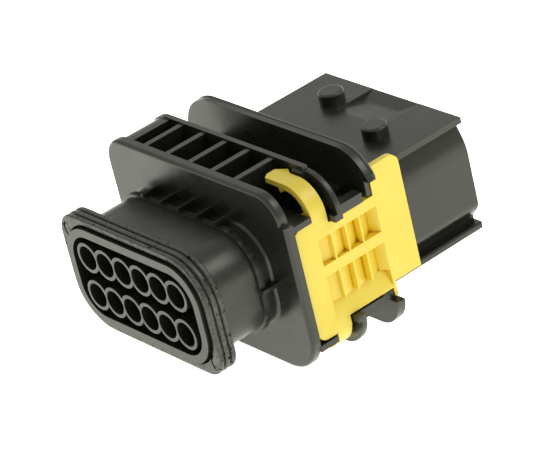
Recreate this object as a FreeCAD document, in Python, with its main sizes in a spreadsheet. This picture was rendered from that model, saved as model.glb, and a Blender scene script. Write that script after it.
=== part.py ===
import FreeCAD, Part
import math
import os
import re

import Sketcher

# A sealed twelve-way connector: one black moulding with a wire collar, three flanges and a
# hood, a rubber seal round the collar, a yellow secondary lock that slides in from the side,
# and twelve tab contacts.
# Each sub-part is drawn with its origin on the wire face, midway between the two rows:
# X points at the lock's side, Y runs from the wire face to the hood's mouth, Z is up.
# Its placement then moves the origin to the middle of the outline, on the resting plane.

doc = FreeCAD.newDocument("connector")
os.makedirs("parts", exist_ok=True)

COLUMNS = 6
ROWS = {"upper": 1, "lower": -1}
RIBS = 5
GUSSETS = 5
LIPS = 3
POCKETS = 4

SIZES = {
    # Overall
    "length": (61.5, "wire face to hood mouth"),
    "resting_depth": (17.3, "row plane down to the flanges' lower edges"),
    # Wire cavities
    "pitch": (5.0, "between neighbouring cavities"),
    "row_height": (3.75, "row plane to either row"),
    "cavity_radius": (2.3, "bore for the wire and its seal"),
    "wire_bore_length": (13.5, "bore for the wire and its seal"),
    "chamber_radius": (2.1, "bore for the contact"),
    "tube_radius": (2.95, "outside of a cavity's tube"),
    "recess_depth": (12.0, "recess round the tubes"),
    # Collar
    "collar_half_width": (18.6, "collar, seat of the seal"),
    "collar_half_height": (9.55, "collar, seat of the seal"),
    "collar_corner": (7.0, "collar's corner radius"),
    "ring_wall": (1.6, "wall round the recess"),
    "bead_start": (12.2, "bead at the collar's root"),
    "bead_width": (1.2, "bead along the length"),
    "bead_height": (0.6, "bead above the collar"),
    "gusset_width": (0.7, "small ribs behind the bead"),
    "gusset_height": (1.3, "small ribs above the collar"),
    # Front flange
    "front_start": (15.7, "front face of the front flange"),
    "front_thickness": (1.8, "front flange"),
    "flange_half_width": (24.0, "front and second flange"),
    "flange_top": (17.2, "front flange's upper edge"),
    "flange_corner": (5.0, "corners away from the lock"),
    "front_arc": (5.0, "upper corner beside the lock"),
    "strip_lip": (0.8, "strip beyond the lock's outer face"),
    "strip_drop": (0.2, "strip's upper end below the arc"),
    "strip_foot": (8.0, "strip's lower corner"),
    "rim_round": (0.7, "rounded front edge"),
    # Core between the flanges
    "core_half_width": (17.9, "core behind the front flange"),
    "core_half_height": (8.9, "core behind the front flange"),
    # Ladder between the front and second flange
    "rib_pitch": (6.3, "between the ladder's ribs"),
    "rib_width": (1.25, "ladder's rib"),
    "rib_middle": (-1.6, "middle rib from the centre plane"),
    "rib_top": (16.7, "ribs' upper edge"),
    "end_inset": (0.8, "end wall inside the flange's outline"),
    "end_wall": (1.3, "end wall's thickness"),
    # Second flange
    "second_start": (26.2, "front face of the second flange"),
    "second_thickness": (1.0, "second flange"),
    "second_top": (17.0, "second flange's upper edge"),
    "second_half_width": (26.1, "second flange at the lock's side"),
    "second_arc": (6.5, "corners beside the lock"),
    "shoulder_start": (19.2, "where its upper edge steps down"),
    "shoulder_drop": (0.6, "step in the upper edge"),
    "catch_start": (17.0, "end of the catch that stops the lock's barb"),
    "catch_depth": (0.8, "catch in front of the second flange"),
    "catch_height": (2.6, "catch below the flange's edge"),
    "ledge_width": (3.4, "small ledges beside the lock's plate"),
    "ledge_height": (1.2, "small ledges beside the lock's plate"),
    # Third flange
    "third_start": (34.0, "front face of the third flange"),
    "third_thickness": (1.7, "third flange"),
    "third_half_width": (26.3, "third flange beside the lock"),
    "third_left": (24.6, "third flange away from the lock"),
    "middle": ("=(third_half_width - third_left) / 2", "middle of the whole, across"),
    "third_top": (16.9, "third flange's upper edge"),
    "third_corner": (8.0, "third flange's upper corners"),
    "third_foot": (6.0, "third flange's lower corners"),
    # Hood
    "floor_end": (38.2, "hood floor's inner face"),
    "cavity_end": (36.2, "front end of the chambers"),
    "hood_half_width": (18.3, "hood"),
    "deck_top": (8.9, "hood's upper face"),
    "deck_lip": (1.1, "lip along the deck's edge"),
    "hood_bottom": (13.7, "hood's lower face below the row plane"),
    "rail_top": (12.15, "upper face of the hood's lower rail"),
    "notch_inset": (1.75, "groove under the lip"),
    "foot_inset": (2.2, "groove above the lower rail"),
    "shoulder_height": (3.4, "hood's upper side corners"),
    "shoulder_round": (8.0, "hood's upper side corners"),
    "belly_corner": (9.0, "hood's lower side corners below the row plane"),
    "belly_round": (3.0, "hood's lower side corners"),
    "inner_half_width": (16.3, "hood cavity"),
    "inner_top": (7.1, "hood cavity"),
    "inner_bottom": (11.9, "hood cavity below the row plane"),
    "inner_corner": (4.0, "hood cavity's corners"),
    # Pegs and scoop on the deck
    "peg_radius": (2.4, "round pegs"),
    "peg_height": (2.3, "pegs above the deck"),
    "peg_round": (0.5, "pegs' upper edge"),
    "far_peg_across": (-8.2, "peg away from the lock"),
    "far_peg_inset": (7.0, "its axis to the hood's mouth"),
    "near_peg_across": (9.3, "peg beside the lock"),
    "near_peg_inset": (12.0, "its axis to the hood's mouth"),
    "scoop_depth": (0.9, "ramped scoop in the deck, at its deepest"),
    "scoop_edge": (0.05, "scoop's depth at both ends"),
    "scoop_reach": (8.9, "scoop's closed end to the mouth"),
    "scoop_ramp": (3.2, "scoop's deepest line to the mouth"),
    "scoop_left": (5.1, "scoop's edge away from the lock"),
    "scoop_right": (7.5, "scoop's edge beside the lock"),
    "scoop_slope": (3.0, "side beside the lock, across for each unit of depth"),
    # Radial seal
    "seal_start": (0.6, "seal's front face"),
    "seal_length": (3.5, "seal along the collar"),
    "seal_band": (0.9, "seal's band on the collar"),
    "ear_corner": (4.3, "seal's two squarer corners"),
    "lip_height": (0.5, "lips above the band"),
    "lip_width": (0.7, "one lip"),
    "lip_pitch": (1.3, "between lips"),
    "seal_groove": (0.5, "groove in the seal's front face"),
    "seal_groove_depth": (1.0, "groove in the seal's front face"),
    # Secondary lock
    "lock_standoff": (2.4, "core's side to the plate's inner face"),
    "lock_thickness": (4.2, "lock's plate"),
    "lock_face": ("=core_half_width + lock_standoff + lock_thickness", "lock's outer face"),
    "lock_gap": (0.2, "clearance round the lock"),
    "lock_travel": (1.2, "push from pre-lock to locked"),
    "window_start": (35.2, "front edge of the plate in the third flange's gap"),
    "lock_end": (41.9, "lock's rear edge"),
    "head_height": (10.0, "plate's front part above the row plane"),
    "chin_depth": (11.7, "plate's front part below the row plane"),
    "chin_round": (2.2, "front part's lower corner"),
    "plate_top": (8.4, "plate's middle part"),
    "plate_bottom": (9.8, "plate's middle part below the row plane"),
    "window_half_height": (11.5, "plate in the third flange's gap"),
    "tail_top": (13.6, "plate's rear part"),
    "tail_bottom": (8.8, "plate's rear part below the row plane"),
    "tail_round": (2.0, "rear part's upper corner"),
    "block_top": (7.2, "plate's thick part"),
    "tail_thickness": (1.2, "rear part and the ears in the third flange's gap"),
    "plate_round": (1.5, "front part's corners"),
    # Pockets in the lock's face
    "pocket_start": (22.2, "first pocket"),
    "pocket_pitch": (3.1, "between pockets"),
    "pocket_length": (2.6, "pocket's front end to its deepest line"),
    "pocket_end": (0.2, "deepest line to the pocket's rear end"),
    "last_pocket_end": (1.2, "the same in the last pocket"),
    "pocket_shallow": (0.4, "pocket's depth at its front end"),
    "first_depth": (1.1, "the same in the first pocket"),
    "pocket_deep": (0.8, "first pocket's greatest depth"),
    "pocket_deepening": (0.35, "each pocket deeper than the one before"),
    "pocket_top": (6.3, "upper pockets"),
    "bar_top": (1.3, "bar between the pocket rows"),
    "bar_bottom": (-0.8, "bar between the pocket rows"),
    "pocket_bottom": (-6.3, "lower pockets"),
    "slope_bottom": (-9.4, "slope under the lower pockets"),
    "slope_depth": (1.5, "slope at its upper edge"),
    # Arms of the lock
    "arm_start": (21.9, "arm's front edge"),
    "arm_width": (3.2, "arm along the length"),
    "arm_thickness": (1.6, "arm at its root"),
    "tip_thickness": (1.0, "arm at its tip"),
    "upper_reach": (15.8, "upper arm's outer face from the row plane"),
    "lower_reach": (16.2, "lower arm's outer face from the row plane"),
    "arm_bend": (5.5, "arm's outer bend"),
    "tip_across": (13.2, "arm's tip from the centre plane"),
    "tip_width": (1.7, "arm's tip along the length"),
    "barb_height": (0.85, "barb beyond the arm's rear edge"),
    "barb_slope": (1.5, "barb's back slope across"),
    # Comb on the lock
    "comb_start": (24.5, "comb's front face"),
    "comb_length": (2.6, "comb along the length"),
    "comb_half_height": (1.0, "comb's rail"),
    "tooth_half_height": (2.85, "comb's teeth"),
    "tooth_width": (1.6, "one tooth"),
    # Guides for the lock
    "guide_thickness": (1.1, "front guides"),
    "guide_lip": (0.4, "guides beyond the lock's outer face"),
    "guide_reach": ("=lock_face + guide_lip", "guides' outer faces"),
    "rear_guide_width": (2.2, "rear guides across"),
    "rear_guide_length": (5.5, "rear guides"),
    "rear_guide_height": (1.8, "rear guides"),
    # Contacts
    "blade_width": (2.8, "tab"),
    "blade_thickness": (0.8, "tab"),
    "blade_inset": (9.0, "tab's tip to the hood's mouth"),
    "blade_end": ("=length - blade_inset", "tab's tip"),
    "blade_point": (1.4, "tapered tip of the tab"),
    "blade_gap": (0.1, "clearance round the tab"),
    "body_start": (27.4, "contact body's rear shoulder"),
    "body_end": (36.0, "contact body's front"),
    "body_width": (2.8, "contact body"),
    "body_height": (3.0, "contact body"),
    "neck_start": (16.0, "neck's rear end"),
    "neck_width": (1.8, "neck"),
    "neck_height": (1.3, "neck"),
    "crimp_start": (14.5, "rear crimp"),
    "crimp_length": (3.2, "either crimp"),
    "crimp_radius": (1.75, "rear crimp, round the wire's seal"),
    "core_crimp_start": (19.2, "front crimp"),
    "core_crimp_radius": (1.35, "front crimp, round the bare wire"),
}

sheet = doc.addObject("Spreadsheet::Sheet", "Size")
for row, (alias, (value, note)) in enumerate(SIZES.items(), start=1):
    sheet.set(f"A{row}", note)
    sheet.set(f"B{row}", str(value))
    sheet.setAlias(f"B{row}", alias)
doc.recompute()

ALIASES = re.compile(r"\b(" + "|".join(sorted(SIZES, key=len, reverse=True)) + r")\b")


def formula(text):
    """The expression for a formula in the sheet's words."""
    return ALIASES.sub(r"Size.\1", str(text))


def size(text):
    """The present value of a formula."""
    return float(sheet.evalExpression(formula(text)))


def minus(text):
    return f"-({text})"


def plane(body, role):
    return next(item for item in body.Origin.OriginFeatures if item.Role == role)


def sketch_at(body, name, role, station):
    """An empty sketch on an origin plane of the body, moved along the plane's own axis."""
    sketch = body.newObject("Sketcher::SketchObject", name)
    sketch.AttachmentSupport = [(plane(body, role), "")]
    sketch.MapMode = "FlatFace"
    offset = minus(station) if role == "XZ_Plane" else station
    sketch.setExpression("AttachmentOffset.Base.z", formula(offset))
    return sketch


def constrain(sketch, kind, *where, value, name):
    """A named constraint that follows a formula."""
    index = sketch.addConstraint(Sketcher.Constraint(kind, *where, size(value)))
    sketch.renameConstraint(index, name)
    sketch.setExpression(f"Constraints.{name}", formula(value))


def draw_outline(sketch, corners, tag):
    """A closed outline through corners (across, up) or (across, up, radius), as formulas."""
    points = [FreeCAD.Vector(size(corner[0]), size(corner[1]), 0) for corner in corners]
    radii = [size(corner[2]) if len(corner) > 2 else 0 for corner in corners]
    count = len(corners)
    ways = [(points[(i + 1) % count] - points[i]).normalize() for i in range(count)]
    entries = []
    exits = []
    arcs = []
    for i in range(count):
        back = -ways[i - 1]
        forth = ways[i]
        half_angle = back.getAngle(forth) / 2
        reach = radii[i] / math.tan(half_angle)
        entries.append(points[i] + back * reach)
        exits.append(points[i] + forth * reach)
        if not radii[i]:
            arcs.append(None)
            continue
        centre = points[i] + (back + forth).normalize() * (radii[i] / math.sin(half_angle))
        to_entry = math.atan2(entries[i].y - centre.y, entries[i].x - centre.x)
        to_exit = math.atan2(exits[i].y - centre.y, exits[i].x - centre.x)
        turns_left = (back.cross(forth)).z < 0
        first, last = (to_entry, to_exit) if turns_left else (to_exit, to_entry)
        circle = Part.Circle(centre, FreeCAD.Vector(0, 0, 1), radii[i])
        arc = sketch.addGeometry(Part.ArcOfCircle(circle, first, last), False)
        arcs.append((arc, turns_left))
    lines = [
        sketch.addGeometry(Part.LineSegment(exits[i], entries[(i + 1) % count]), False)
        for i in range(count)
    ]
    for i in range(count):
        before, after = lines[i - 1], lines[i]
        if arcs[i] is None:
            sketch.addConstraint(Sketcher.Constraint("Coincident", before, 2, after, 1))
            corner, end = after, 1
        else:
            arc, turns_left = arcs[i]
            start, stop = (1, 2) if turns_left else (2, 1)
            sketch.addConstraint(Sketcher.Constraint("Tangent", before, 2, arc, start))
            sketch.addConstraint(Sketcher.Constraint("Tangent", after, 1, arc, stop))
            corner, end = sketch.addGeometry(Part.Point(points[i]), True), 1
            sketch.addConstraint(Sketcher.Constraint("PointOnObject", corner, 1, before))
            sketch.addConstraint(Sketcher.Constraint("PointOnObject", corner, 1, after))
            constrain(sketch, "Radius", arc, value=corners[i][2], name=f"{tag}_radius_{i}")
        constrain(sketch, "DistanceX", -1, 1, corner, end, value=corners[i][0], name=f"{tag}_across_{i}")
        constrain(sketch, "DistanceY", -1, 1, corner, end, value=corners[i][1], name=f"{tag}_up_{i}")


def draw_circle(sketch, across, up, radius, tag):
    centre = FreeCAD.Vector(size(across), size(up), 0)
    circle = sketch.addGeometry(Part.Circle(centre, FreeCAD.Vector(0, 0, 1), size(radius)), False)
    constrain(sketch, "Radius", circle, value=radius, name=f"{tag}_radius")
    constrain(sketch, "DistanceX", -1, 1, circle, 3, value=across, name=f"{tag}_across")
    constrain(sketch, "DistanceY", -1, 1, circle, 3, value=up, name=f"{tag}_up")


def extrude(body, name, role, start, end, outlines=(), circles=(), cut=False):
    """Pad or pocket outlines and circles from one station along the plane's axis to another."""
    sketch = sketch_at(body, name + "_sketch", role, start)
    for i, corners in enumerate(outlines):
        draw_outline(sketch, corners, f"outline{i}")
    for i, (across, up, radius) in enumerate(circles):
        draw_circle(sketch, across, up, radius, f"circle{i}")
    feature = body.newObject("PartDesign::Pocket" if cut else "PartDesign::Pad", name)
    feature.Profile = sketch
    feature.setExpression("Length", formula(f"{end} - ({start})"))
    looks_back = role == "XZ_Plane"
    feature.Reversed = looks_back != cut
    sketch.Visibility = False
    return feature


def along(body, name, start, end, *outlines, circles=(), cut=False):
    """Extrude in the Y direction; corners are (x, z)."""
    return extrude(body, name, "XZ_Plane", start, end, outlines, circles, cut)


def across(body, name, start, end, *outlines, cut=False):
    """Extrude in the X direction; corners are (y, z)."""
    return extrude(body, name, "YZ_Plane", start, end, outlines, cut=cut)


def upward(body, name, start, end, *outlines, circles=(), cut=False):
    """Extrude in the Z direction; corners are (x, y)."""
    return extrude(body, name, "XY_Plane", start, end, outlines, circles, cut)


def rectangle(left, right, bottom, top, radius=None):
    corners = [(left, bottom), (right, bottom), (right, top), (left, top)]
    return [corner + (radius,) for corner in corners] if radius else corners


def collar_outline(growth):
    """The collar's section, grown or shrunk evenly."""
    width = f"(collar_half_width + {growth})"
    height = f"(collar_half_height + {growth})"
    return rectangle(minus(width), width, minus(height), height, f"collar_corner + {growth}")


def column(index):
    """Distance of a cavity from the centre plane."""
    return f"{index - (COLUMNS - 1) / 2} * pitch"


def round_edges(body, name, radius, wanted):
    """Fillet the edges of the body's tip for which wanted(edge) is true."""
    doc.recompute()
    base = body.Tip
    names = [f"Edge{i}" for i, edge in enumerate(base.Shape.Edges, start=1) if wanted(edge)]
    fillet = body.newObject("PartDesign::Fillet", name)
    fillet.Base = (base, names)
    fillet.setExpression("Radius", formula(radius))


def lies_in(edge, axis, station):
    """Whether all of an edge lies at one value of x, y or z."""
    box = edge.BoundBox
    low = getattr(box, axis + "Min")
    high = getattr(box, axis + "Max")
    return abs(low - size(station)) < 1e-4 and abs(high - size(station)) < 1e-4


def new_body(name):
    body = doc.addObject("PartDesign::Body", name)
    body.Label = name
    place(body)
    return body


def place(item, x="0", z="0"):
    """Move a sub-part from the wire face's frame to the connector's own."""
    item.setExpression("Placement.Base.x", formula(f"{x} - middle"))
    item.setExpression("Placement.Base.y", formula("-length / 2"))
    item.setExpression("Placement.Base.z", formula(f"resting_depth + {z}"))


def make_collar(body):
    """The collar with its recess, tubes, bead and small gussets."""
    front_end = "front_start + front_thickness"
    along(body, "collar", "0", front_end, collar_outline("0"))
    along(body, "recess", "0", "recess_depth", collar_outline("-ring_wall"), cut=True)
    for row, side in ROWS.items():
        tube = along(body, f"{row}_tube", "0", "recess_depth",
                     circles=[(column(0), f"{side} * row_height", "tube_radius")])
        pattern = body.newObject("PartDesign::LinearPattern", f"{row}_tubes")
        pattern.Originals = [tube]
        pattern.Direction = (plane(body, "X_Axis"), [""])
        pattern.Occurrences = COLUMNS
        pattern.setExpression("Length", formula(f"{COLUMNS - 1} * pitch"))
        body.Tip = pattern
    along(body, "bead", "bead_start", "bead_start + bead_width", collar_outline("bead_height"))
    gusset_top = "collar_half_height + gusset_height"
    gusset_side = "collar_half_width + gusset_height"
    half = "gusset_width / 2"
    gussets = []
    for i in range(GUSSETS):
        middle = f"{i - (GUSSETS - 1) / 2} * pitch"
        gussets.append(rectangle(f"{middle} - {half}", f"{middle} + {half}", minus(gusset_top), gusset_top))
    along(body, "gussets", "bead_start", front_end, *gussets)
    along(body, "side_gussets", "bead_start", front_end,
          rectangle(minus(gusset_side), gusset_side, minus(half), half))


def make_front_flange(body):
    """The front flange, whose strip covers the lock's front edge."""
    left = minus("flange_half_width")
    foot = minus("resting_depth")
    strip_top = "flange_top - front_arc - strip_drop"
    along(body, "front_flange", "front_start", "front_start + front_thickness", [
        (left, foot, "flange_corner"),
        ("lock_face + strip_lip", foot, "strip_foot"),
        ("lock_face + strip_lip", strip_top),
        ("flange_half_width", strip_top),
        ("flange_half_width", "flange_top", "front_arc"),
        (left, "flange_top", "flange_corner"),
    ])
    clear = size("collar_half_width + gusset_height")
    round_edges(body, "front_flange_rim", "rim_round",
                lambda edge: lies_in(edge, "Y", "front_start") and edge.CenterOfMass.Length > clear
                and edge.Length > size("cavity_radius"))


def make_ladder(body):
    """Ribs above and below the core, and the end wall away from the lock."""
    start = "front_start + front_thickness"
    end = "second_start"
    ribs = []
    for i in range(RIBS):
        middle = f"rib_middle + {i - (RIBS - 1) / 2} * rib_pitch"
        ribs.append(rectangle(f"{middle} - rib_width / 2", f"{middle} + rib_width / 2",
                              minus("rib_top"), "rib_top"))
    along(body, "ribs", start, end, *ribs)
    outer = "-(flange_half_width - end_inset)"
    inner = "-(flange_half_width - end_inset - end_wall)"
    tip = "-(flange_half_width - flange_corner - end_wall)"
    inner_height = "rib_top - end_wall"
    outer_round = "flange_corner - end_inset"
    inner_round = "flange_corner - end_inset - end_wall"
    along(body, "end_wall", start, end, [
        (tip, "rib_top"),
        (outer, "rib_top", outer_round),
        (outer, minus("rib_top"), outer_round),
        (tip, minus("rib_top")),
        (tip, minus(inner_height)),
        (inner, minus(inner_height), inner_round),
        (inner, inner_height, inner_round),
        (tip, inner_height),
    ])


def make_second_flange(body):
    """The second flange, open for the lock's plate, with a catch for each barb."""
    left = minus("flange_half_width")
    end = "second_start + second_thickness"
    low_top = "second_top - shoulder_drop"
    along(body, "second_flange", "second_start", end, [
        (left, minus("second_top"), "flange_corner"),
        ("second_half_width", minus("second_top"), "second_arc"),
        ("second_half_width", low_top, "second_arc"),
        ("shoulder_start", low_top),
        ("shoulder_start", "second_top"),
        (left, "second_top", "flange_corner"),
    ])
    catches = [rectangle("catch_start", "second_half_width - second_arc", *span) for span in (
        (f"{low_top} - catch_height", low_top), (minus(low_top), f"catch_height - ({low_top})"))]
    ledges = [rectangle("second_half_width - ledge_width", "second_half_width", *span) for span in (
        ("plate_top + lock_gap", "plate_top + lock_gap + ledge_height"),
        ("-(plate_bottom + lock_gap + ledge_height)", "-(plate_bottom + lock_gap)"))]
    along(body, "catches", "second_start - catch_depth", "second_start", *catches, *ledges)
    along(body, "second_flange_gap", "second_start", end, rectangle(
        "core_half_width", "second_half_width",
        "-(plate_bottom + lock_gap)", "plate_top + lock_gap"), cut=True)


def make_third_flange(body):
    """The third flange, with a gap for the lock's plate."""
    left = minus("third_left")
    foot = minus("resting_depth")
    end = "third_start + third_thickness"
    window = "window_half_height + lock_gap"
    top = "block_top + lock_gap"
    bottom = "-(plate_bottom + lock_gap)"
    shelf = "lock_face - tail_thickness - lock_travel - lock_gap"
    along(body, "third_flange", "third_start", end, [
        (left, foot, "third_foot"),
        ("third_half_width", foot, "third_foot"),
        ("third_half_width", "third_top", "third_corner"),
        (left, "third_top", "third_corner"),
    ])
    along(body, "third_flange_gap", "third_start", end, [
        ("hood_half_width", bottom),
        (shelf, bottom),
        (shelf, minus(window)),
        ("third_half_width", minus(window)),
        ("third_half_width", window),
        (shelf, window),
        (shelf, top),
        ("hood_half_width", top),
    ], cut=True)


def make_guides(body):
    """Walls above and below the lock's plate."""
    front_end = "front_start + front_thickness"
    head = "head_height + lock_gap"
    chin = "chin_depth + lock_gap"
    front = [
        rectangle("core_half_width", "guide_reach", head, f"{head} + guide_thickness"),
        rectangle("core_half_width", "guide_reach", f"-({chin} + guide_thickness)", minus(chin)),
    ]
    along(body, "front_guides", front_end, "arm_start - 2 * lock_gap", *front)
    second_end = "second_start + second_thickness"
    root = "guide_reach - rear_guide_width"
    top = "plate_top + lock_gap"
    bottom = "plate_bottom + lock_gap"
    rear = [
        rectangle(root, "guide_reach", top, f"{top} + rear_guide_height"),
        rectangle(root, "guide_reach", f"-({bottom} + rear_guide_height)", minus(bottom)),
    ]
    along(body, "rear_guides", second_end, f"{second_end} + rear_guide_length", *rear)


def hood_outline():
    """The hood's section: a deck with side lips, rounded sides and a grooved lower rail."""
    right = [
        ("hood_half_width", "deck_top"),
        ("hood_half_width", "deck_top - deck_lip"),
        ("hood_half_width - notch_inset", "inner_top"),
        ("hood_half_width", "shoulder_height", "shoulder_round"),
        ("hood_half_width", "-belly_corner", "belly_round"),
        ("hood_half_width - foot_inset", "foot_inset / 3 - rail_top"),
        ("hood_half_width - foot_inset", "-rail_top"),
        ("hood_half_width - deck_lip / 4", "-rail_top"),
        ("hood_half_width", "-rail_top - deck_lip / 2"),
        ("hood_half_width - deck_lip", "-hood_bottom"),
    ]
    left = [(minus(corner[0]),) + corner[1:] for corner in reversed(right)]
    return right + left


def make_hood(body):
    """The hood with its floor, tab slots, pegs and scoop."""
    third_end = "third_start + third_thickness"
    along(body, "hood", third_end, "length", hood_outline())
    along(body, "hood_cavity", "floor_end", "length", rectangle(
        "-inner_half_width", "inner_half_width", "-inner_bottom", "inner_top", "inner_corner"), cut=True)
    pegs = [("far_peg_across", "length - far_peg_inset", "peg_radius"),
            ("near_peg_across", "length - near_peg_inset", "peg_radius")]
    upward(body, "pegs", "deck_top", "deck_top + peg_height", circles=pegs)
    round_edges(body, "peg_rims", "peg_round", lambda edge: lies_in(edge, "Z", "deck_top + peg_height"))
    sections = [scoop_section(body, "length - scoop_reach", "scoop_edge"),
                scoop_section(body, "length - scoop_ramp", "scoop_depth"),
                scoop_section(body, "length", "scoop_edge")]
    scoop = body.newObject("PartDesign::SubtractiveLoft", "scoop")
    scoop.Profile = sections[0]
    scoop.Sections = sections[1:]
    scoop.Ruled = True


def scoop_section(body, station, depth):
    """One section of the scoop: steep away from the lock, sloped beside it."""
    sketch = sketch_at(body, "scoop_section", "XZ_Plane", station)
    draw_outline(sketch, [
        ("-scoop_left", "deck_top"),
        (f"{depth} / 4 - scoop_left", f"deck_top - {depth}"),
        (f"scoop_right - {depth} * scoop_slope", f"deck_top - {depth}"),
        ("scoop_right", "deck_top"),
    ], "outline")
    sketch.Visibility = False
    return sketch


def make_cavities(body):
    """Round cavities, a slot for each tab, and the tunnel for the lock's comb."""
    axes = [(column(i), f"{side} * row_height") for side in ROWS.values() for i in range(COLUMNS)]
    along(body, "wire_bores", "0", "wire_bore_length", cut=True,
          circles=[(x, z, "cavity_radius") for x, z in axes])
    along(body, "chambers", "wire_bore_length", "cavity_end", cut=True,
          circles=[(x, z, "chamber_radius") for x, z in axes])
    half_width = "blade_width / 2 + blade_gap"
    half_height = "blade_thickness / 2 + blade_gap"
    slots = [rectangle(f"{x} - ({half_width})", f"{x} + {half_width}",
                       f"{z} - ({half_height})", f"{z} + {half_height}") for x, z in axes]
    along(body, "tab_slots", "cavity_end", "floor_end", *slots, cut=True)
    height = "tooth_half_height + lock_gap"
    far_end = f"{comb_end()} - lock_travel - lock_gap"
    across(body, "comb_tunnel", far_end, "core_half_width", rectangle(
        "comb_start - lock_gap", "comb_start + comb_length + lock_gap", minus(height), height), cut=True)


def comb_end():
    """Where the comb's last tooth ends, away from the lock."""
    return f"{tooth_middle(0)} - tooth_width / 2"


def tooth_middle(index):
    """A tooth waits midway between two cavities until the lock is pushed in."""
    return f"{column(index)} + pitch / 2"


def make_housing():
    body = new_body("housing")
    make_collar(body)
    make_front_flange(body)
    front_end = "front_start + front_thickness"
    third_end = "third_start + third_thickness"
    along(body, "core", front_end, third_end, rectangle(
        "-core_half_width", "core_half_width", "-core_half_height", "core_half_height"))
    make_ladder(body)
    make_second_flange(body)
    make_third_flange(body)
    make_guides(body)
    make_hood(body)
    make_cavities(body)
    return body


def seal_outline(growth):
    """The seal's section: two of its opposite corners are squarer than the collar's."""
    width = f"(collar_half_width + {growth})"
    height = f"(collar_half_height + {growth})"
    corner = f"collar_corner + {growth}"
    return [
        (minus(width), minus(height), corner),
        (width, minus(height), "ear_corner"),
        (width, height, corner),
        (minus(width), height, "ear_corner"),
    ]


def make_seal():
    """A rubber band on the collar with three lips and a grooved front face."""
    body = new_body("radial_seal")
    end = "seal_start + seal_length"
    along(body, "band", "seal_start", end, seal_outline("seal_band"))
    for i in range(LIPS):
        start = f"seal_start + {i} * lip_pitch"
        along(body, f"lip_{i + 1}", start, f"{start} + lip_width", seal_outline("seal_band + lip_height"))
    along(body, "collar_hole", "seal_start", end, collar_outline("0"), cut=True)
    along(body, "front_groove", "seal_start", "seal_start + seal_groove_depth",
          collar_outline("seal_groove"), cut=True)
    return body


def make_arm(body, row, side, root, reach):
    """A strap that bends round towards the centre plane, with a barb at its tip."""
    end = "arm_start + arm_width"
    inner = "lock_face - arm_thickness"
    tip_under = f"{reach} - tip_thickness"
    ledge = "catch_start - lock_gap"
    along(body, f"{row}_arm", "arm_start", end, [
        ("lock_face", f"{side} * ({root})"),
        ("lock_face", f"{side} * {reach}", "arm_bend"),
        (ledge, f"{side} * {reach}"),
        (ledge, f"{side} * ({tip_under})"),
        (inner, f"{side} * ({reach} - arm_thickness)", "arm_bend - arm_thickness"),
        (inner, f"{side} * ({root})"),
    ])
    low, high = (tip_under, reach) if side > 0 else (minus(reach), minus(tip_under))
    upward(body, f"{row}_barb", low, high, [
        (f"{ledge} + tip_thickness", "arm_start"),
        (f"{ledge} + tip_thickness", end),
        (ledge, end),
        (f"{ledge} - barb_slope", f"{end} + barb_height"),
        ("tip_across", f"{end} - barb_height / 2"),
        ("tip_across", f"{end} - barb_height / 2 - tip_width"),
        ("tip_across + (arm_width - tip_width) / 2", "arm_start"),
    ])


def make_lock():
    """The secondary lock: a pocketed plate, two arms and a comb with teeth."""
    body = new_body("secondary_lock")
    inner = "lock_face - lock_thickness"
    front = "front_start + front_thickness + lock_gap"
    window_end = "third_start + third_thickness + lock_gap"
    relief_start = "second_start + second_thickness"
    arm_end = "arm_start + arm_width"
    across(body, "plate", inner, "lock_face", [
        (front, "-chin_depth", "chin_round"),
        (arm_end, "-chin_depth"),
        (arm_end, "-plate_bottom"),
        ("window_start", "-plate_bottom"),
        ("window_start", "-window_half_height"),
        (window_end, "-window_half_height"),
        (window_end, "-tail_bottom"),
        ("lock_end", "-tail_bottom"),
        ("lock_end", "tail_top", "tail_round"),
        (window_end, "tail_top"),
        (window_end, "window_half_height"),
        ("window_start", "window_half_height"),
        ("window_start", "plate_top"),
        (arm_end, "plate_top"),
        (arm_end, "head_height"),
        (front, "head_height", "plate_round"),
    ])
    across(body, "rear_relief", inner, "lock_face - tail_thickness", [
        ("window_start", "-window_half_height"),
        ("lock_end", "-window_half_height"),
        ("lock_end", "tail_top"),
        (relief_start, "tail_top"),
        (relief_start, "block_top"),
        (window_end, "block_top"),
        (window_end, "-plate_bottom"),
        ("window_start", "-plate_bottom"),
    ], cut=True)
    pockets = []
    for i in range(POCKETS):
        start = f"pocket_start + {i} * pocket_pitch"
        deepest = f"{start} + pocket_length"
        rear = "last_pocket_end" if i == POCKETS - 1 else "pocket_end"
        front_depth = "pocket_shallow" if i else "first_depth"
        pockets.append([
            (f"lock_face - {front_depth}", start),
            ("lock_face", start),
            ("lock_face", f"{deepest} + {rear}"),
            (f"lock_face - pocket_deep - {i} * pocket_deepening", deepest),
        ])
    upward(body, "upper_pockets", "bar_top", "pocket_top", *pockets, cut=True)
    upward(body, "lower_pockets", "pocket_bottom", "bar_bottom", *pockets, cut=True)
    slope_end = f"pocket_start + {POCKETS - 1} * pocket_pitch + pocket_length + last_pocket_end"
    along(body, "slope", "pocket_start", slope_end, [
        ("lock_face", "slope_bottom"),
        ("lock_face", "pocket_bottom"),
        ("lock_face - slope_depth", "pocket_bottom"),
    ], cut=True)
    make_arm(body, "upper", 1, "plate_top - plate_round", "upper_reach")
    make_arm(body, "lower", -1, "-slope_bottom", "lower_reach")
    across(body, "rail", comb_end(), inner, rectangle(
        "comb_start", "comb_start + comb_length", "-comb_half_height", "comb_half_height"))
    teeth = [rectangle(f"{tooth_middle(i)} - tooth_width / 2", f"{tooth_middle(i)} + tooth_width / 2",
                       "-tooth_half_height", "tooth_half_height") for i in range(COLUMNS)]
    along(body, "teeth", "comb_start", "comb_start + comb_length", *teeth)
    return body


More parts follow.
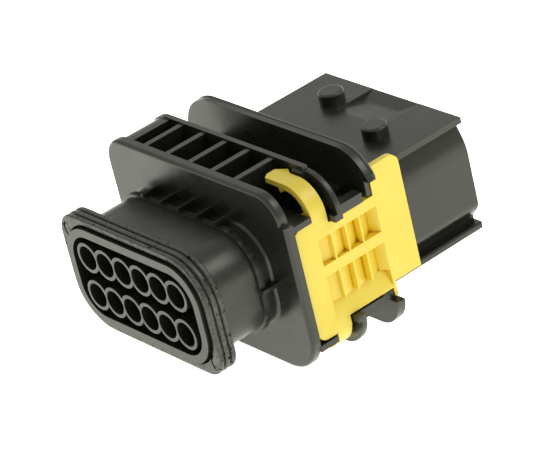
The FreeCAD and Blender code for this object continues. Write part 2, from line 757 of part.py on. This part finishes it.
def make_block(name, width, start, end, height):
    """A box centred on its own Y axis."""
    box = doc.addObject("Part::Box", name)
    for prop, value in (("Width", f"{end} - ({start})"), ("Length", width), ("Height", height)):
        box.setExpression(prop, formula(value))
    box.setExpression("Placement.Base.x", formula(f"-({width}) / 2"))
    box.setExpression("Placement.Base.y", formula(start))
    box.setExpression("Placement.Base.z", formula(f"-({height}) / 2"))
    return box


def make_barrel(name, radius, start):
    """A round crimp along the Y axis."""
    barrel = doc.addObject("Part::Cylinder", name)
    barrel.Placement.Rotation = FreeCAD.Rotation(FreeCAD.Vector(1, 0, 0), -90)
    barrel.setExpression("Radius", formula(radius))
    barrel.setExpression("Height", formula("crimp_length"))
    barrel.setExpression("Placement.Base.y", formula(start))
    return barrel


def make_contact(number, x, z):
    """A tab contact: blade with a tapered tip, body, neck and two closed crimps."""
    name = f"contact_{number:02d}"
    shoulder = "blade_end - blade_point"
    tip = doc.addObject("Part::Wedge", f"{name}_tip")
    half_width = "blade_width / 2"
    half_thickness = "blade_thickness / 2"
    for prop, value in (("Xmin", minus(half_width)), ("Xmax", half_width), ("X2min", "-blade_width / 4"),
                        ("X2max", "blade_width / 4"), ("Ymin", shoulder), ("Ymax", "blade_end"),
                        ("Zmin", minus(half_thickness)), ("Zmax", half_thickness),
                        ("Z2min", "-blade_thickness / 4"), ("Z2max", "blade_thickness / 4")):
        tip.setExpression(prop, formula(value))
    pieces = [
        tip,
        make_block(f"{name}_blade", "blade_width", "body_end", shoulder, "blade_thickness"),
        make_block(f"{name}_body", "body_width", "body_start", "body_end", "body_height"),
        make_block(f"{name}_neck", "neck_width", "neck_start", "body_start", "neck_height"),
        make_barrel(f"{name}_core_crimp", "core_crimp_radius", "core_crimp_start"),
        make_barrel(f"{name}_seal_crimp", "crimp_radius", "crimp_start"),
    ]
    contact = doc.addObject("Part::MultiFuse", name)
    contact.Shapes = pieces
    contact.Label = name
    place(contact, x, z)
    return contact


parts = [make_housing(), make_seal(), make_lock()]
numbers = iter(range(1, 2 * COLUMNS + 1))
for row_side in ROWS.values():
    for i in range(COLUMNS):
        parts.append(make_contact(next(numbers), column(i), f"{row_side} * row_height"))
doc.recompute()

for item in doc.Objects:
    if "Invalid" in item.State or "Error" in item.State:
        raise RuntimeError(f"{item.Name} failed: {item.State}")
for part in parts:
    if part.Shape.isNull() or not part.Shape.isValid():
        raise RuntimeError(f"{part.Label} has no valid shape")
    part.Shape.exportStep(f"parts/{part.Label}.step")
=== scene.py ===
import math

import bpy
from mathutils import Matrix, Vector


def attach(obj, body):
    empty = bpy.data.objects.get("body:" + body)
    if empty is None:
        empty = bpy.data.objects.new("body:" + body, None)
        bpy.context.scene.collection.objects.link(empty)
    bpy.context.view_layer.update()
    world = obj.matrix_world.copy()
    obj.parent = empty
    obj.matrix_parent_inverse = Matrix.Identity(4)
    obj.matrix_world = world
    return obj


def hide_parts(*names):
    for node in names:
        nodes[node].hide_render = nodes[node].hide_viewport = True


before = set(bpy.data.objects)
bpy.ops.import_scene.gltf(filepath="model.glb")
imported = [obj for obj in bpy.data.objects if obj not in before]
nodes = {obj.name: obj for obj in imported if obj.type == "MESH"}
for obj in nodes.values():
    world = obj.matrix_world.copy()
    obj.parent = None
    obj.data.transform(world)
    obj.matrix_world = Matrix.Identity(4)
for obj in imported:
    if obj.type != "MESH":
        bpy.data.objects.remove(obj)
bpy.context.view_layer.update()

# All lengths are in mm, and MM turns them into metres.
MM = 0.001

# The middle of the wire face, between the two rows of cavities
CAVITY_MIDDLE = -0.85
WIRE_FACE = -30.75
ROW_PLANE = 17.3

# The collar, and the seal round it. BAND, LIP and LIP_ROOT stand out from the collar.
COLLAR_HALF_WIDTH = 18.6
COLLAR_HALF_HEIGHT = 9.55
COLLAR_CORNER = 7.0
EAR_CORNER = 4.3
ARC_STEPS = 10
STRAIGHT_STEPS = 12
SEAL_START = 0.6
SEAL_END = 4.1
SEAL_GAP = 0.02
LIP_COUNT = 3
LIP_PITCH = 1.3
BAND = 0.9
LIP = 1.4
LIP_ROOT = 1.2


def at(x, y, z):
    """A point given in mm from the wire face, midway between the rows."""
    return Vector(((x + CAVITY_MIDDLE) * MM, (y + WIRE_FACE) * MM, (z + ROW_PLANE) * MM))


# Materials


def new_material(name):
    """A material with its node tree and its Principled shader."""
    material = bpy.data.materials.new(name)
    material.use_nodes = True
    tree = material.node_tree
    return material, tree, tree.nodes["Principled BSDF"]


def noise(tree, scale, detail=3, roughness=0.5, stretch=(1, 1, 1), turn=(0, 0, 0)):
    """Noise in the object's own coordinates, in metres."""
    coords = tree.nodes.new("ShaderNodeTexCoord")
    mapping = tree.nodes.new("ShaderNodeMapping")
    mapping.inputs["Rotation"].default_value = turn
    mapping.inputs["Scale"].default_value = stretch
    texture = tree.nodes.new("ShaderNodeTexNoise")
    texture.inputs["Scale"].default_value = scale
    texture.inputs["Detail"].default_value = detail
    texture.inputs["Roughness"].default_value = roughness
    tree.links.new(coords.outputs["Object"], mapping.inputs["Vector"])
    tree.links.new(mapping.outputs["Vector"], texture.inputs["Vector"])
    return texture.outputs["Fac"]


def ramp(tree, factor, low, high, start=0.3, end=0.7):
    """A colour or grey ramp from low to high over part of the factor's range."""
    node = tree.nodes.new("ShaderNodeValToRGB")
    for element, place, value in zip(node.color_ramp.elements, (start, end), (low, high)):
        element.position = place
        element.color = (*value, 1) if isinstance(value, tuple) else (value, value, value, 1)
    tree.links.new(factor, node.inputs["Fac"])
    return node.outputs["Color"]


def calculate(tree, operation, *values, clamp=False):
    """A math node whose inputs are sockets or numbers."""
    node = tree.nodes.new("ShaderNodeMath")
    node.operation = operation
    node.use_clamp = clamp
    for socket, value in zip(node.inputs, values):
        if isinstance(value, (int, float)):
            socket.default_value = value
        else:
            tree.links.new(value, socket)
    return node.outputs["Value"]


def excess(tree, first, second, gain):
    """How far the first value is above the second, times a gain and kept between 0 and 1."""
    return calculate(tree, "MULTIPLY", calculate(tree, "SUBTRACT", first, second), gain, clamp=True)


def mix(tree, factor, first, second):
    """A colour mix of two sockets or colours."""
    node = tree.nodes.new("ShaderNodeMix")
    node.data_type = "RGBA"
    tree.links.new(factor, node.inputs["Factor"])
    for name, value in (("A", first), ("B", second)):
        socket = next(each for each in node.inputs if each.name == name and each.type == "RGBA")
        if isinstance(value, tuple):
            socket.default_value = (*value, 1)
        else:
            tree.links.new(value, socket)
    return next(each for each in node.outputs if each.type == "RGBA")


def scratches(tree, turn):
    """Patches of fine short scuffs in one direction, as a mask."""
    fine = excess(tree, noise(tree, 4200, 2, stretch=(1, 0.035, 1), turn=turn), 0.66, 12)
    patches = excess(tree, noise(tree, 130, 2), 0.5, 6)
    return calculate(tree, "MULTIPLY", fine, patches)


def bump(tree, shader, layers):
    """Chained bump maps; layers are (height, distance in mm), and a distance below 0 sinks."""
    last = None
    for height, distance in layers:
        node = tree.nodes.new("ShaderNodeBump")
        node.inputs["Strength"].default_value = 1
        node.inputs["Distance"].default_value = distance * MM
        tree.links.new(height, node.inputs["Height"])
        if last:
            tree.links.new(last, node.inputs["Normal"])
        last = node.outputs["Normal"]
    tree.links.new(last, shader.inputs["Normal"])


def moulded_plastic(name, dark, light, rough_low, rough_high, scuff, grain=0.012):
    """Moulded plastic: a fine spark-eroded grain, faint flow marks, uneven gloss and a few scuffs."""
    material, tree, shader = new_material(name)
    marks = calculate(tree, "MAXIMUM", scratches(tree, (0.3, 0.2, 0.9)), scratches(tree, (0.1, 0.5, -0.6)))
    body = ramp(tree, noise(tree, 90, 4), dark, light)
    colour = mix(tree, calculate(tree, "MULTIPLY", marks, 0.3), body, scuff)
    gloss = calculate(tree, "ADD", ramp(tree, noise(tree, 260, 3), rough_low, rough_high),
                      calculate(tree, "MULTIPLY", marks, 0.08))
    tree.links.new(colour, shader.inputs["Base Color"])
    tree.links.new(gloss, shader.inputs["Roughness"])
    bump(tree, shader, [(noise(tree, 7000, 2), grain), (noise(tree, 500, 2, stretch=(1, 0.4, 1)), 0.01)])
    return material, tree, shader


def black_plastic():
    """Black plastic whose gloss is slightly warm."""
    material, _, shader = moulded_plastic(
        "black_plastic", dark=(0.0075, 0.0079, 0.0068), light=(0.0105, 0.011, 0.0096),
        rough_low=0.25, rough_high=0.34, scuff=(0.03, 0.03, 0.028))
    shader.inputs["Specular Tint"].default_value = (1, 0.99, 0.91, 1)
    return material


def openness(tree, reach, only_local):
    """How open the surface is within a reach in mm: 1 on flat ground, lower in hollows."""
    node = tree.nodes.new("ShaderNodeAmbientOcclusion")
    node.samples = 8
    node.only_local = only_local
    node.inputs["Distance"].default_value = reach * MM
    return node.outputs["AO"]


def yellow_plastic():
    """Bright yellow plastic, with painted shade: more orange in its recesses and dark brown along its seams
    with other parts.
    """
    material, tree, shader = moulded_plastic(
        "yellow_plastic", dark=(0.6, 0.46, 0.042), light=(0.64, 0.495, 0.055),
        rough_low=0.32, rough_high=0.42, scuff=(0.7, 0.6, 0.16), grain=0.006)
    surface = shader.inputs["Base Color"].links[0].from_socket
    # Painted shade: hollows within 2.2 mm, found by occlusion, are tinted orange.
    recess_shade = excess(tree, 0.86, openness(tree, 2.2, True), 1.9)
    recess_shaded_yellow = mix(tree, recess_shade, surface, (0.78, 0.49, 0.004))
    # Painted shadow: a dark brown line where the lock lies close to other parts, found by occlusion that
    # counts them.
    contact_shadow = excess(tree, 0.66, openness(tree, 0.8, False), 2.2)
    tree.links.new(mix(tree, contact_shadow, recess_shaded_yellow, (0.3, 0.14, 0.004)), shader.inputs["Base Color"])
    shader.inputs["Subsurface Weight"].default_value = 0.12
    shader.inputs["Subsurface Radius"].default_value = (1.0, 0.7, 0.1)
    shader.inputs["Subsurface Scale"].default_value = 0.6 * MM
    return material


def shaded_pip_crescent(tree, x, z, radius):
    """The side of a round moulding mark on the seal's front face that falls in shade, as a mask for painted
    shadow.
    """
    line = 0.3 * MM
    skin = 0.3 * MM
    shade_start = -0.4 * radius * MM
    coords = tree.nodes.new("ShaderNodeTexCoord")
    split = tree.nodes.new("ShaderNodeSeparateXYZ")
    tree.links.new(coords.outputs["Object"], split.inputs["Vector"])
    centre = at(x, SEAL_START, z)
    across = calculate(tree, "SUBTRACT", split.outputs["X"], centre.x)
    up = calculate(tree, "SUBTRACT", split.outputs["Z"], centre.z)
    away = calculate(tree, "SQRT", calculate(tree, "ADD", calculate(tree, "POWER", across, 2),
                                             calculate(tree, "POWER", up, 2)))
    off_ring = calculate(tree, "ABSOLUTE", calculate(tree, "SUBTRACT", away, radius * MM))
    ring = calculate(tree, "SUBTRACT", 1, calculate(tree, "DIVIDE", off_ring, line), clamp=True)
    ring = calculate(tree, "MULTIPLY", ring, 1.8, clamp=True)
    # Only the left side of the ring is kept, where shade falls: painted shadow.
    side = excess(tree, shade_start, across, 3 / MM)
    front = calculate(tree, "LESS_THAN", split.outputs["Y"], centre.y + skin)
    return calculate(tree, "MULTIPLY", calculate(tree, "MULTIPLY", ring, side), front)


def seal_rubber():
    """Black rubber with a dusty bloom and small specks, with painted shade in its pits and painted shadow on
    one side of two round moulding marks.
    """
    material, tree, shader = new_material("seal_rubber")
    bloom = noise(tree, 1100, 7, 0.72)
    mottle = ramp(tree, bloom, (0.006, 0.0063, 0.0055), (0.032, 0.033, 0.029), 0.36, 0.68)
    specks = excess(tree, noise(tree, 2100, 3, 0.6), 0.67, 14)
    pits = excess(tree, 0.36, noise(tree, 1500, 2), 18)
    marks = calculate(tree, "MAXIMUM", shaded_pip_crescent(tree, -17.0, 7.9, 1.5), shaded_pip_crescent(tree, 19.0, -7.8, 1.6))
    hollow_shade = calculate(tree, "MAXIMUM", pits, marks)
    dusty = mix(tree, calculate(tree, "MULTIPLY", specks, 0.6), mottle, (0.085, 0.086, 0.078))
    # Painted shade: the pits and the shaded sides of the moulding marks are darkened nearly to black.
    tree.links.new(mix(tree, hollow_shade, dusty, (0.003, 0.003, 0.003)), shader.inputs["Base Color"])
    sheen = ramp(tree, bloom, 0.5, 0.8, 0.36, 0.68)
    level_ground = calculate(tree, "SUBTRACT", 1, hollow_shade, clamp=True)
    tree.links.new(calculate(tree, "MULTIPLY", sheen, level_ground), shader.inputs["Specular IOR Level"])
    tree.links.new(ramp(tree, noise(tree, 700, 4), 0.3, 0.5), shader.inputs["Roughness"])
    bump(tree, shader, [(noise(tree, 3000, 4), 0.012), (noise(tree, 420, 2), 0.02),
                        (pits, -0.05), (marks, -0.12)])
    shader.inputs["Specular Tint"].default_value = (1, 0.99, 0.92, 1)
    return material


def tinned_metal():
    """Rolled tin plate: bright, with faint lines along the tab."""
    material, tree, shader = new_material("tinned_metal")
    shader.inputs["Metallic"].default_value = 1
    rolled = (1, 0.05, 1)
    colour = ramp(tree, noise(tree, 800, stretch=rolled), (0.58, 0.57, 0.54), (0.72, 0.71, 0.68))
    tree.links.new(colour, shader.inputs["Base Color"])
    gloss = ramp(tree, noise(tree, 1500, stretch=rolled), 0.22, 0.4)
    tree.links.new(gloss, shader.inputs["Roughness"])
    bump(tree, shader, [(noise(tree, 4000, 2, stretch=rolled), 0.004)])
    return material


black = black_plastic()
yellow = yellow_plastic()
rubber = seal_rubber()
tin = tinned_metal()


# Carried-over solids


def smooth_group():
    """A modifier that drops the imported normals and shades every face smooth."""
    group = bpy.data.node_groups.new("plain_smooth", "GeometryNodeTree")
    group.interface.new_socket("Geometry", in_out="INPUT", socket_type="NodeSocketGeometry")
    group.interface.new_socket("Geometry", in_out="OUTPUT", socket_type="NodeSocketGeometry")
    entry = group.nodes.new("NodeGroupInput")
    strip = group.nodes.new("GeometryNodeRemoveAttribute")
    strip.inputs["Name"].default_value = "custom_normal"
    smooth = group.nodes.new("GeometryNodeSetShadeSmooth")
    leave = group.nodes.new("NodeGroupOutput")
    group.links.new(entry.outputs[0], strip.inputs["Geometry"])
    group.links.new(strip.outputs[0], smooth.inputs["Geometry"])
    group.links.new(smooth.outputs[0], leave.inputs[0])
    return group


plain_smooth = smooth_group()


def round_edges(piece, width, segments, least_angle):
    """Small rounded edges where two faces meet at more than an angle in degrees."""
    bevel = piece.modifiers.new("rounded_edges", "BEVEL")
    bevel.width = width * MM
    bevel.segments = segments
    bevel.limit_method = "ANGLE"
    bevel.angle_limit = math.radians(least_angle)
    piece.modifiers.new("normals", "WEIGHTED_NORMAL").keep_sharp = True


def dress(node, material, edge):
    """Give a CAD node its material and small rounded edges."""
    piece = nodes[node]
    piece.data.materials.clear()
    piece.data.materials.append(material)
    weld = piece.modifiers.new("weld", "WELD")
    weld.merge_threshold = 0.002 * MM
    piece.modifiers.new("smooth", "NODES").node_group = plain_smooth
    round_edges(piece, edge, 2, 35)


dress("housing", black, 0.16)
dress("secondary_lock", yellow, 0.2)
for node in nodes:
    if node.startswith("contact_"):
        dress(node, tin, 0.06)


# Radial seal


def rounded_outline(half_width, half_height, corners):
    """Points (x, z) round a rectangle whose corner radii start at the upper right."""
    runs = []
    signs = ((1, 1), (-1, 1), (-1, -1), (1, -1))
    for quarter, ((side, up), radius) in enumerate(zip(signs, corners)):
        middle = (side * (half_width - radius), up * (half_height - radius))
        runs.append([(middle[0] + radius * math.cos(angle), middle[1] + radius * math.sin(angle))
                     for angle in ((quarter + step / ARC_STEPS) * math.pi / 2
                                   for step in range(ARC_STEPS + 1))])
    points = []
    for run, following in zip(runs, runs[1:] + runs[:1]):
        points += run
        (x0, z0), (x1, z1) = run[-1], following[0]
        points += [(x0 + (x1 - x0) * step / STRAIGHT_STEPS, z0 + (z1 - z0) * step / STRAIGHT_STEPS)
                   for step in range(1, STRAIGHT_STEPS)]
    return points


def collar_ring(growth):
    """The collar's outline, grown by some mm."""
    corner = COLLAR_CORNER + growth
    return rounded_outline(COLLAR_HALF_WIDTH + growth, COLLAR_HALF_HEIGHT + growth, [corner] * 4)


def seal_ring(growth):
    """The seal's outline: the collar's, grown by some mm, with two squarer corners."""
    corner = COLLAR_CORNER + growth
    return rounded_outline(COLLAR_HALF_WIDTH + growth, COLLAR_HALF_HEIGHT + growth,
                           [corner, EAR_CORNER, corner, EAR_CORNER])


def new_piece(name, verts, faces, body, material):
    """A mesh object that rides on a body."""
    mesh = bpy.data.meshes.new(name)
    mesh.from_pydata(verts, [], faces)
    mesh.update()
    piece = bpy.data.objects.new(name, mesh)
    bpy.context.scene.collection.objects.link(piece)
    mesh.materials.append(material)
    mesh.shade_smooth()
    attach(piece, body)
    return piece


def closed_sweep(rings):
    """Vertices and quads of rings that close on themselves both ways."""
    count = len(rings[0])
    verts = [point for ring in rings for point in ring]
    faces = []
    for i in range(len(rings)):
        following = (i + 1) % len(rings)
        for j in range(count):
            after = (j + 1) % count
            faces.append((i * count + j, i * count + after, following * count + after, following * count + j))
    return verts, faces


def add_seal():
    """The rubber ring: a band on the collar, a groove in its front face and three soft lips."""
    # Each row is a depth, an outline and its growth. First come the inside and the front groove,
    # then the front face, the lips from front to rear, and the rear face.
    section = [(y, collar_ring, SEAL_GAP) for y in (SEAL_END, 2.6, 1.75)]
    section += [(1.62, collar_ring, 0.05), (1.58, collar_ring, 0.16), (1.5, collar_ring, 0.28),
                (1.2, collar_ring, 0.32), (0.85, collar_ring, 0.33), (0.66, collar_ring, 0.38),
                (SEAL_START, collar_ring, 0.48), (SEAL_START, seal_ring, 0.85), (SEAL_START, seal_ring, 1.15)]
    for i in range(LIP_COUNT):
        start = SEAL_START + i * LIP_PITCH
        section += [(start + step, seal_ring, growth) for step, growth in (
            (0.06, LIP - 0.08), (0.2, LIP), (0.65, LIP), (0.86, LIP - 0.06), (0.93, LIP_ROOT))]
        if i < LIP_COUNT - 1:
            section += [(start + step, seal_ring, growth) for step, growth in (
                (0.98, BAND), (1.22, BAND), (1.27, LIP_ROOT))]
    section += [(4.14, seal_ring, BAND), (4.15, seal_ring, 0.35)]
    rings = [[at(x, y, z) for x, z in outline(growth)] for y, outline, growth in section]
    verts, faces = closed_sweep(rings)
    seal = new_piece("seal_ring", verts, faces, "housing", rubber)
    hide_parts("radial_seal")
    soft = seal.modifiers.new("soft", "SUBSURF")
    soft.levels = soft.render_levels = 1


add_seal()


# Small forms


# The third flange, and the face of the lock beside it
LOCK_FACE = 24.5
FLANGE_SHELF = 21.9
FLANGE_START = 34.0
FLANGE_END = 35.7
FLANGE_TOP = 16.9
FLANGE_LEFT = 24.6
FLANGE_RIGHT = 26.3
FLANGE_CORNER = 8.0

# The line along its rim, set in from its rear face and its edge
RIM_RADIUS = 0.4
RIM_SETBACK = 0.2
RIM_INSET = 0.22
RIM_STEPS = 12
RIM_DROP = 4
RIM_LAST_ANGLE = 24
BEAD_SIDES = 10

# The walls in front of the lock's ears: how high each goes, and where it lies in the flange
UPPER_EAR = (8.65, 11.75)
LOWER_EAR = (-11.75, -10.05)
WALL_SHIFT = 0.1
WALL_START = 0.03
WALL_END = 0.95

# The nub on the lock's upper arm
NUB_START = 21.95
NUB_END = 22.6

# The rail under the hood
RAIL_INNER = 17.5
RAIL_OUTER = 18.4
RAIL_UPPER = -12.3
RAIL_LOWER = -13.32
RAIL_START = 35.9
RAIL_END = 61.42


def prism(name, outline, start, end, body, material, edge):
    """An outline (x, z) carried along Y from start to end, with rounded edges."""
    count = len(outline)
    verts = [at(x, start, z) for x, z in outline] + [at(x, end, z) for x, z in outline]
    faces = [tuple(range(count)), tuple(reversed(range(count, 2 * count)))]
    faces += [(j, j + count, (j + 1) % count + count, (j + 1) % count) for j in range(count)]
    round_edges(new_piece(name, verts, faces, body, material), edge, 3, 30)


def bead(name, path, radius, body, material):
    """A round bead along a path of points in mm, closed at both ends."""
    points = [at(*point) for point in path]
    last = (len(points) - 1) * BEAD_SIDES
    verts, faces = [], []
    for i, point in enumerate(points):
        along = (points[min(i + 1, len(points) - 1)] - points[max(i - 1, 0)]).normalized()
        back = Vector((0, 1, 0))
        out = along.cross(back)
        for j in range(BEAD_SIDES):
            angle = 2 * math.pi * j / BEAD_SIDES
            verts.append(point + (back * math.cos(angle) + out * math.sin(angle)) * radius * MM)
    for start in range(0, last, BEAD_SIDES):
        following = start + BEAD_SIDES
        for j in range(BEAD_SIDES):
            after = (j + 1) % BEAD_SIDES
            faces.append((start + j, start + after, following + after, following + j))
    faces += [tuple(reversed(range(BEAD_SIDES))), tuple(range(last, last + BEAD_SIDES))]
    new_piece(name, verts, faces, body, material)


def flange_rim_path(y, inset):
    """Along the third flange's upper edge, from its left side to just above the lock."""
    radius = FLANGE_CORNER - inset
    level = FLANGE_TOP - FLANGE_CORNER
    left = FLANGE_CORNER - FLANGE_LEFT
    right = FLANGE_RIGHT - FLANGE_CORNER
    path = [(left - radius, y, level - RIM_DROP)]
    for middle, first, last in ((left, 180, 90), (right, 90, RIM_LAST_ANGLE)):
        for step in range(RIM_STEPS + 1):
            angle = math.radians(first + (last - first) * step / RIM_STEPS)
            path.append((middle + radius * math.cos(angle), y, level + radius * math.sin(angle)))
    return path


def add_flange_rim():
    """The fine raised line along the rear of the third flange's upper rim."""
    path = flange_rim_path(FLANGE_END - RIM_SETBACK, RIM_INSET)
    bead("flange_rim", path, RIM_RADIUS, "housing", black)


def add_rebates():
    """Thin walls of the third flange in front of the lock's two ears."""
    inner, outer = FLANGE_SHELF - WALL_SHIFT, LOCK_FACE - WALL_SHIFT
    for name, (low, high) in (("upper_rebate", UPPER_EAR), ("lower_rebate", LOWER_EAR)):
        outline = [(inner, low), (outer, low), (outer, high), (inner, high)]
        prism(name, outline, FLANGE_START + WALL_START, FLANGE_START + WALL_END, "housing", black, 0.12)


def add_arm_nub():
    """The small pointed nub under the upper arm's front edge."""
    outline = [(17.0, 14.6), (18.1, 14.5), (17.95, 14.1), (17.62, 13.85), (17.4, 13.8), (17.2, 14.0)]
    prism("arm_nub", outline, NUB_START, NUB_END, "lock", yellow, 0.08)


def add_rail_rims():
    """The rounded outer edges of the rail under the hood, on both sides."""
    for name, side in (("near_rail_rim", 1), ("far_rail_rim", -1)):
        corners = [(RAIL_INNER, RAIL_UPPER), (RAIL_INNER, RAIL_LOWER), (RAIL_OUTER, RAIL_LOWER),
                   (RAIL_OUTER, RAIL_UPPER)]
        outline = [(side * x, z) for x, z in (corners if side > 0 else reversed(corners))]
        prism(name, outline, RAIL_START, RAIL_END, "housing", black, 0.22)


add_flange_rim()
add_rebates()
add_rail_rims()
add_arm_nub()


# Stage


def add_floor():
    """A pale floor that is bright enough to read as white."""
    bpy.ops.mesh.primitive_plane_add(size=3)
    floor = bpy.context.object
    floor.name = "floor"
    material, tree, shader = new_material("pale_floor")
    tree.links.new(ramp(tree, noise(tree, 30, 2), 0.86, 0.88), shader.inputs["Base Color"])
    shader.inputs["Roughness"].default_value = 0.9
    shader.inputs["Emission Color"].default_value = (0.985, 1, 0.9, 1)
    shader.inputs["Emission Strength"].default_value = 1.35
    floor.data.materials.append(material)


def add_softbox(name, place, size, power, target=(0, 0, 0.017)):
    """A square area light that points at the part."""
    lamp = bpy.data.lights.new(name, "AREA")
    lamp.size = size
    lamp.energy = power
    holder = bpy.data.objects.new(name, lamp)
    bpy.context.scene.collection.objects.link(holder)
    holder.location = place
    holder.rotation_euler = (Vector(target) - Vector(place)).to_track_quat("-Z", "Y").to_euler()


def add_world(strength):
    """Even light from all round."""
    world = bpy.data.worlds.new("studio")
    world.use_nodes = True
    background = world.node_tree.nodes["Background"]
    background.inputs["Color"].default_value = (0.985, 1, 0.92, 1)
    background.inputs["Strength"].default_value = strength
    bpy.context.scene.world = world


def add_camera():
    """The camera that was fitted to the photograph."""
    data = bpy.data.cameras.new("camera")
    data.sensor_width = 36
    data.lens = 205.64
    data.clip_start = 0.01
    camera = bpy.data.objects.new("camera", data)
    camera.location = (0.39753, -0.26198, 0.26677)
    camera.rotation_euler = [math.radians(angle) for angle in (61.498, 12.262, 50.191)]
    bpy.context.scene.collection.objects.link(camera)
    bpy.context.scene.camera = camera


add_floor()
add_world(0.85)
add_softbox("back_softbox", (0.27, 0.29, 0.45), 0.28, 0.85)
add_camera()
bpy.context.scene.view_settings.view_transform = "Standard"
